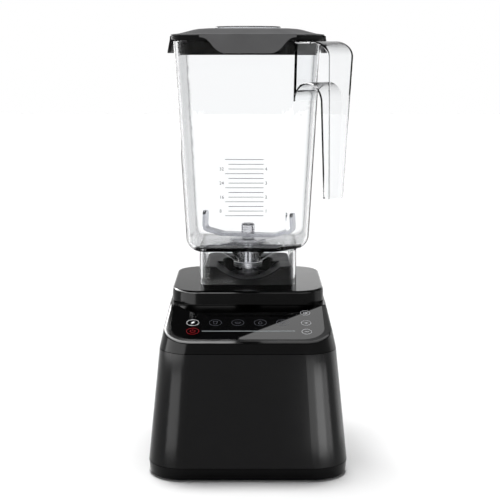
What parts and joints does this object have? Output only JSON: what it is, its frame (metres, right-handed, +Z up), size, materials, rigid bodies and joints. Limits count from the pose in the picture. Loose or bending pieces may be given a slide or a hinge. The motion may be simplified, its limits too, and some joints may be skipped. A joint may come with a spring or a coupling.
{
  "type": "countertop blender",
  "caption": "Countertop blender with a black tapered motor base, sloping touch panel, clear five-sided jar with an open-ended corner handle, blunt wing-tip blade and grey lid.",
  "frame": {"origin": "on the drive axis of motor, blade and jar, in the plane that the feet stand on", "axes": "+Z up along the drive axis, +X to the right of the user, -Y towards the user and the touch panel"},
  "size_m": [0.1815, 0.2204, 0.3936],
  "materials": {
    "base_plastic": "satin black moulded plastic",
    "foot_rubber": "matt black rubber",
    "zinc_steel": "zinc-plated steel",
    "housing_black": "semi-gloss black moulded plastic",
    "gland_rubber": "matt black rubber",
    "cover_black": "semi-gloss black moulded plastic",
    "panel_black": "high-gloss black touch panel",
    "seat_black": "satin black firm rubber",
    "core_steel": "stacked electrical steel laminations",
    "copper": "enamelled copper wire",
    "bracket_aluminium": "die-cast aluminium",
    "bearing_steel": "ground bearing steel",
    "carrier_plastic": "dark phenolic",
    "brass": "drawn brass",
    "carbon": "pressed carbon",
    "board_green": "green board with black components",
    "shaft_steel": "ground steel",
    "commutator_copper": "turned copper bars",
    "fan_plastic": "black moulded plastic",
    "socket_steel": "sintered steel",
    "clear_jar": "clear copolyester",
    "stainless": "turned stainless steel",
    "seal_rubber": "black seal rubber",
    "blade_steel": "polished stainless steel",
    "lid_grey": "satin charcoal-grey moulded plastic",
    "plug_black": "satin black soft moulding",
    "clear_cap": "clear smoke-grey plastic"
  },
  "bodies": {
    "base": {"base_plate": "base_plastic", "rubber_feet": "foot_rubber", "base_screws": "zinc_steel", "housing": "housing_black", "cord_gland": "gland_rubber", "top_cover": "cover_black", "touch_panel": "panel_black", "cover_screws": "zinc_steel", "jar_seat": "seat_black", "seat_screws": "zinc_steel", "field_stack": "core_steel", "field_coils": "copper", "upper_bracket": "bracket_aluminium", "lower_bracket": "bracket_aluminium", "motor_bearings": "bearing_steel", "motor_bolts": "zinc_steel", "motor_grommets": "gland_rubber", "brush_carrier": "carrier_plastic", "brush_holders": "brass", "carbon_brushes": "carbon", "brush_springs": "bearing_steel", "power_board": "board_green", "heat_sink": "bracket_aluminium", "board_screws": "zinc_steel", "control_board": "board_green"},
    "armature": {"motor_shaft": "shaft_steel", "armature_core": "core_steel", "armature_windings": "copper", "commutator": "commutator_copper", "cooling_fan": "fan_plastic", "drive_socket": "socket_steel"},
    "jar": {"jar_body": "clear_jar", "jar_handle": "clear_jar", "bearing_housing": "stainless", "housing_nut": "stainless", "jar_bearings": "bearing_steel", "shaft_seal": "seal_rubber"},
    "blade": {"blade_shaft": "stainless", "blade": "blade_steel", "blade_hub": "stainless"},
    "lid": {"lid": "lid_grey", "lid_seal": "plug_black"},
    "cap": {"centre_cap": "clear_cap"}
  },
  "joints": [
    {"name": "motor_spin", "type": "hinge", "parent": "base", "child": "armature", "pos_m": [0, 0, 0.062], "axis": [0, 0, 1], "continuous": true},
    {"name": "jar_lift", "type": "slide", "parent": "base", "child": "jar", "axis": [0, 0, 1], "range_m": [0, 0.06]},
    {"name": "blade_spin", "type": "hinge", "parent": "jar", "child": "blade", "pos_m": [0, 0, 0.18], "axis": [0, 0, 1], "continuous": true},
    {"name": "lid_lift", "type": "slide", "parent": "jar", "child": "lid", "axis": [0, 0, 1], "range_m": [0, 0.05]},
    {"name": "cap_lift", "type": "slide", "parent": "lid", "child": "cap", "axis": [0, 0, 1], "range_m": [0, 0.04]}
  ],
  "couplings": [
    {"joint": "blade_spin", "follows": "motor_spin", "ratio": 1}
  ]
}
